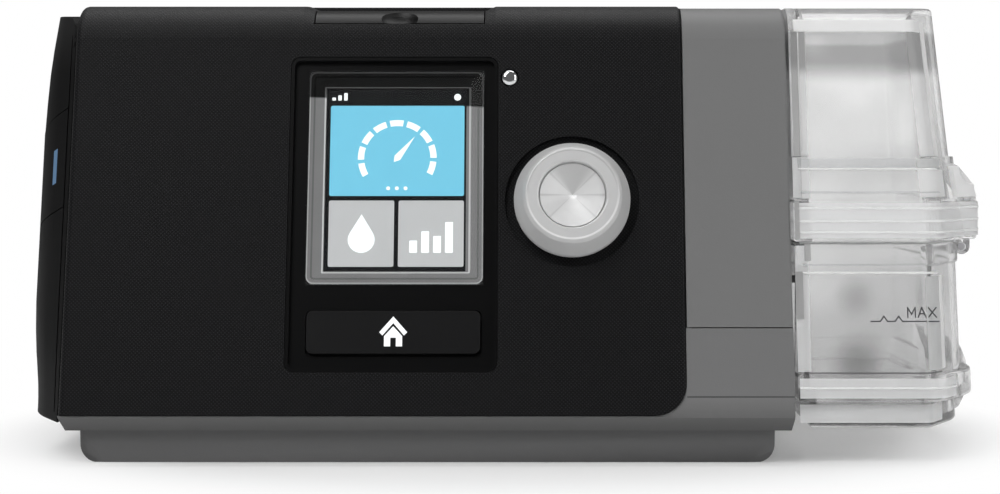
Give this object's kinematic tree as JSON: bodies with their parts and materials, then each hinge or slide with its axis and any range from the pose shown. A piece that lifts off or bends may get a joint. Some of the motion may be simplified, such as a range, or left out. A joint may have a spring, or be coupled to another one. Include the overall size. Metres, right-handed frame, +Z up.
{
  "type": "cpap machine",
  "caption": "Bedside positive-pressure breathing machine: leaning black front with screen, home key and dial, grey housing, clear water tub docked at the side",
  "frame": {"origin": "on the resting surface, at the centre of the bounding box's footprint", "axes": "+Z up, +X to the machine's right as seen from the front, +Y to the rear"},
  "size_m": [0.248, 0.149, 0.116],
  "materials": {
    "housing_grey": "fine moulded grain",
    "panel_grey": "fine moulded grain",
    "fascia_black": "fine staggered dot texture",
    "cover_black": "satin",
    "rear_black": "fine moulded grain",
    "plinth_grey": "fine moulded grain",
    "feet_rubber": "matte",
    "bezel_black": "deep black",
    "screen_clear": "clear, polished bevel",
    "screen_display": "lit display",
    "home_black": "satin",
    "start_grey": "satin",
    "dial_silver": "satin",
    "dial_disc": "spun",
    "sensor_chrome": "polished dome",
    "window_blue": "lit blue",
    "tub_clear": "clear moulded",
    "silicone_grey": "matte",
    "steel_plate": "brushed",
    "pin_steel": "drawn",
    "heater_metal": "milled",
    "board_green": "solder mask",
    "part_black": "moulded",
    "card_grey": "moulded",
    "filter_white": "felted",
    "duct_black": "moulded",
    "motor_metal": "satin",
    "impeller_white": "moulded",
    "plunger_metal": "turned",
    "outlet_grey": "satin",
    "pin_brass": "plated"
  },
  "bodies": {
    "housing": {"chassis_housing": "housing_grey", "dock_frame": "housing_grey", "name_panel": "panel_grey", "front_fascia": "fascia_black", "left_side_cover": "cover_black", "rear_cover": "rear_black", "adapter_cover": "rear_black", "base_plinth": "plinth_grey", "rubber_feet": "feet_rubber", "display_bezel": "bezel_black", "screen_lens": "screen_clear", "lcd_panel": "screen_display", "display_board": "board_green", "board_screws": "pin_steel", "home_switch": "part_black", "start_switch": "part_black", "encoder_body": "part_black", "light_sensor_lens": "sensor_chrome", "sd_hinge_pin": "pin_steel", "sd_card_reader": "part_black", "sd_card": "card_grey", "filter_hinge_pin": "pin_steel", "air_filter": "filter_white", "air_box": "duct_black", "blower_mounts": "silicone_grey", "blower_volute": "duct_black", "blower_lid": "duct_black", "blower_screws": "pin_steel", "motor_stator": "motor_metal", "outlet_hose": "silicone_grey", "outlet_elbow": "duct_black", "air_outlet_port": "outlet_grey", "dock_seal": "silicone_grey", "heater_plate": "heater_metal", "heater_springs": "pin_steel", "power_socket": "part_black", "socket_pins": "pin_brass", "main_board": "board_green", "housing_screws": "pin_steel"},
    "start_key": {"start_stop_button": "start_grey"},
    "home_key": {"home_button": "home_black"},
    "dial_push": {"dial_plunger": "plunger_metal"},
    "dial": {"dial_knob": "dial_silver", "dial_insert": "dial_disc"},
    "tub": {"tub_base": "tub_clear", "tub_heat_plate": "steel_plate", "tub_plate_seal": "silicone_grey", "tub_mid_seal": "silicone_grey", "tub_hinge_pin": "pin_steel"},
    "lid": {"tub_lid": "tub_clear"},
    "card_door": {"sd_cover": "cover_black", "sd_cover_window": "window_blue"},
    "filter_door": {"filter_cover": "rear_black"},
    "rotor": {"impeller": "impeller_white", "motor_shaft": "pin_steel"}
  },
  "joints": [
    {"name": "start_stop_press", "type": "slide", "parent": "housing", "child": "start_key", "axis": [0, 0, -1], "range_m": [0, 0.001], "stiffness_N_per_m": 800},
    {"name": "home_press", "type": "slide", "parent": "housing", "child": "home_key", "axis": [0, 0.9613, -0.2756], "range_m": [0, 0.001], "stiffness_N_per_m": 600},
    {"name": "dial_press", "type": "slide", "parent": "housing", "child": "dial_push", "axis": [0, 0.9613, -0.2756], "range_m": [0, 0.001], "stiffness_N_per_m": 900},
    {"name": "dial_turn", "type": "hinge", "parent": "dial_push", "child": "dial", "pos_m": [0.0171, -0.05942, 0.06485], "axis": [0, -0.9613, 0.2756], "continuous": true},
    {"name": "tub_slide", "type": "slide", "parent": "housing", "child": "tub", "axis": [1, 0, 0], "range_m": [0, 0.08]},
    {"name": "tub_lid_open", "type": "hinge", "parent": "tub", "child": "lid", "pos_m": [0.12, -0.013, 0.0524], "axis": [0, 1, 0], "range_deg": [0, 100]},
    {"name": "sd_cover_open", "type": "hinge", "parent": "housing", "child": "card_door", "pos_m": [-0.1229, -0.02274, 0.06796], "axis": [0, -0.2756, -0.9613], "range_deg": [0, 85]},
    {"name": "filter_cover_open", "type": "hinge", "parent": "housing", "child": "filter_door", "pos_m": [-0.0514, 0.05575, 0.0305], "axis": [0, 0, -1], "range_deg": [0, 85]},
    {"name": "impeller_spin", "type": "hinge", "parent": "housing", "child": "rotor", "pos_m": [-0.052, 0.012, 0.07], "axis": [0, 0, 1], "continuous": true}
  ]
}
